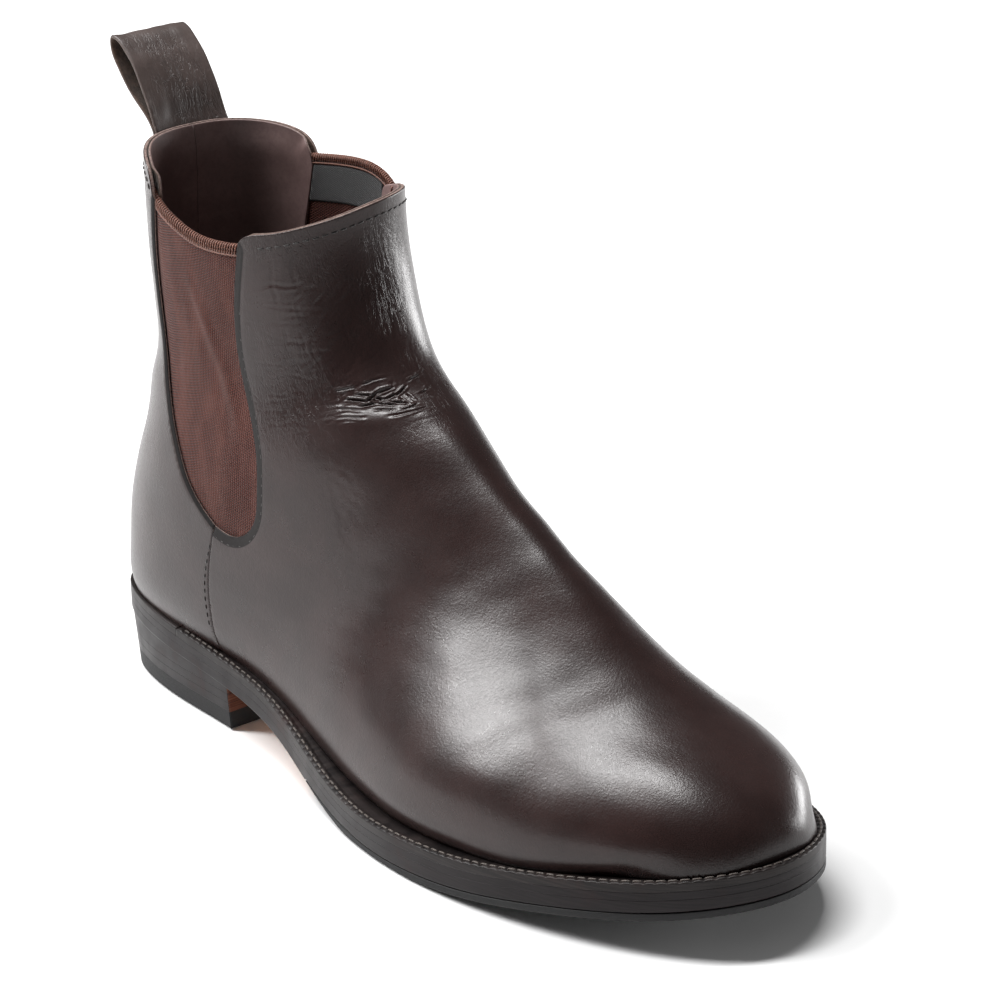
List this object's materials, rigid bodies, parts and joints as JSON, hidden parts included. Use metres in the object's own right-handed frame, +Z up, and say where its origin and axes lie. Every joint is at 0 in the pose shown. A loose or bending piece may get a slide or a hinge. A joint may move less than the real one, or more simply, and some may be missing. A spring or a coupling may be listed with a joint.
{
  "type": "chelsea boot",
  "caption": "Ankle boot with smooth leather upper, elastic side gores, a rear pull loop, stitched welt, leather sole with rubber forepart and a stacked heel.",
  "frame": {"origin": "on the ground, below the middle of the bounding box", "axes": "+X towards the toe, +Y towards the inner (medial) side of the right foot, +Z up"},
  "size_m": [0.3096, 0.1029, 0.2066],
  "materials": {
    "upper_leather": "semi-gloss, fine grain",
    "lining_leather": "matte",
    "elastic": "ribbed, matte",
    "overlock_thread": "matte",
    "tape": "woven, matte",
    "stiffener": "matte",
    "interlining": "matte",
    "insole_leather": "matte",
    "foam": "matte",
    "welt_leather": "satin",
    "shank_steel": "brushed",
    "cork": "matte",
    "edge_leather": "satin, edge ink",
    "sole_leather": "satin",
    "rubber": "satin",
    "nail_steel": "satin",
    "nail_brass": "satin",
    "upper_thread": "matte",
    "welt_thread": "matte"
  },
  "bodies": {
    "boot": {"vamp": "upper_leather", "quarter_lateral": "upper_leather", "quarter_medial": "upper_leather", "pull_loop_anchor": "upper_leather", "vamp_lining": "lining_leather", "quarter_lining_lateral": "lining_leather", "quarter_lining_medial": "lining_leather", "sock_liner": "lining_leather", "gore_lateral": "elastic", "gore_medial": "elastic", "gore_edge_lateral": "overlock_thread", "gore_edge_medial": "overlock_thread", "gore_tape_lateral": "tape", "gore_tape_medial": "tape", "toe_puff": "stiffener", "heel_counter": "stiffener", "vamp_interlining": "interlining", "quarter_backer": "interlining", "insole": "insole_leather", "heel_pad": "foam", "welt": "welt_leather", "heel_rand": "welt_leather", "insole_rib": "interlining", "shank": "shank_steel", "cork_filler": "cork", "midsole": "edge_leather", "outsole": "sole_leather", "forepart_tread": "rubber", "heel_top_piece": "rubber", "heel_lift_1": "edge_leather", "heel_lift_2": "edge_leather", "heel_wedge": "edge_leather", "heel_nails": "nail_steel", "top_piece_nails": "nail_brass", "stitches_front_collar": "upper_thread", "stitches_back_collar": "upper_thread", "stitches_gore_lateral": "upper_thread", "stitches_gore_medial": "upper_thread", "stitches_side_seams": "upper_thread", "welt_stitches": "welt_thread", "stitches_pull_loop": "upper_thread"},
    "pull_loop": {"pull_loop": "upper_leather"}
  },
  "joints": [
    {"name": "pull_loop_fold", "type": "hinge", "parent": "boot", "child": "pull_loop", "pos_m": [-0.13399, 0.00544, 0.1803], "axis": [0, 1, 0], "range_deg": [-55, 50], "stiffness_Nm_per_rad": 0.02}
  ]
}
